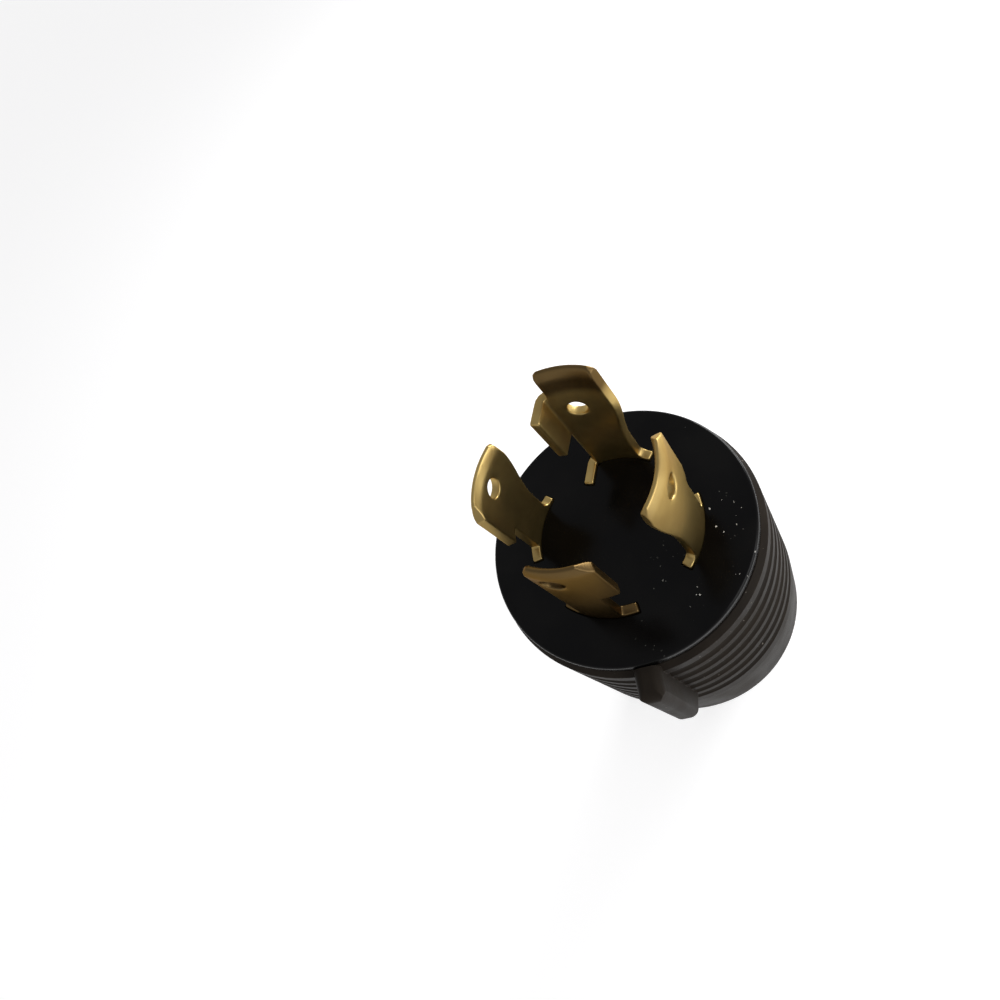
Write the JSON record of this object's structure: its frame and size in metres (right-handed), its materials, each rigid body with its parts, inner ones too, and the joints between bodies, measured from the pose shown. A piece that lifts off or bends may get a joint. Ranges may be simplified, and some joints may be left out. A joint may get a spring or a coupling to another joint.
{
  "type": "locking power plug",
  "caption": "Round black locking power plug with curved brass blades, a bent-leg ground blade, a ribbed housing with a side lug and a cord clamp.",
  "frame": {"origin": "centre of the cord clamp's bore in the plug's rear end face", "axes": "+Z along the plug's axis to the blade tips, +Y towards the ground blade, +X towards the line X blade"},
  "size_m": [0.0528, 0.0561, 0.1086],
  "materials": {
    "dead_front": "smooth glossy moulded face",
    "wiring_block": "plain moulded",
    "housing": "satin moulded grip",
    "blades": "formed strip, lightly polished",
    "clamp_plates": "plated",
    "ground_screw": "green dyed plating",
    "line_screws": "bright",
    "screws": "plated",
    "cord_seal": "soft matt",
    "cord_jaws": "plain moulded"
  },
  "bodies": {
    "root": {"dead_front": "dead_front", "wiring_block": "wiring_block", "housing": "housing", "blade_ground": "blades", "blade_neutral": "blades", "blade_line_x": "blades", "blade_line_y": "blades", "clamp_plate_ground": "clamp_plates", "clamp_plate_neutral": "clamp_plates", "clamp_plate_line_x": "clamp_plates", "clamp_plate_line_y": "clamp_plates", "terminal_screw_ground": "ground_screw", "terminal_screw_neutral": "screws", "terminal_screws_line": "line_screws", "long_body_screws": "screws", "short_body_screws": "screws", "cord_seal": "cord_seal", "cord_jaw_plain": "cord_jaws", "cord_jaw_threaded": "cord_jaws", "cord_clamp_screws": "screws"}
  },
  "joints": []
}
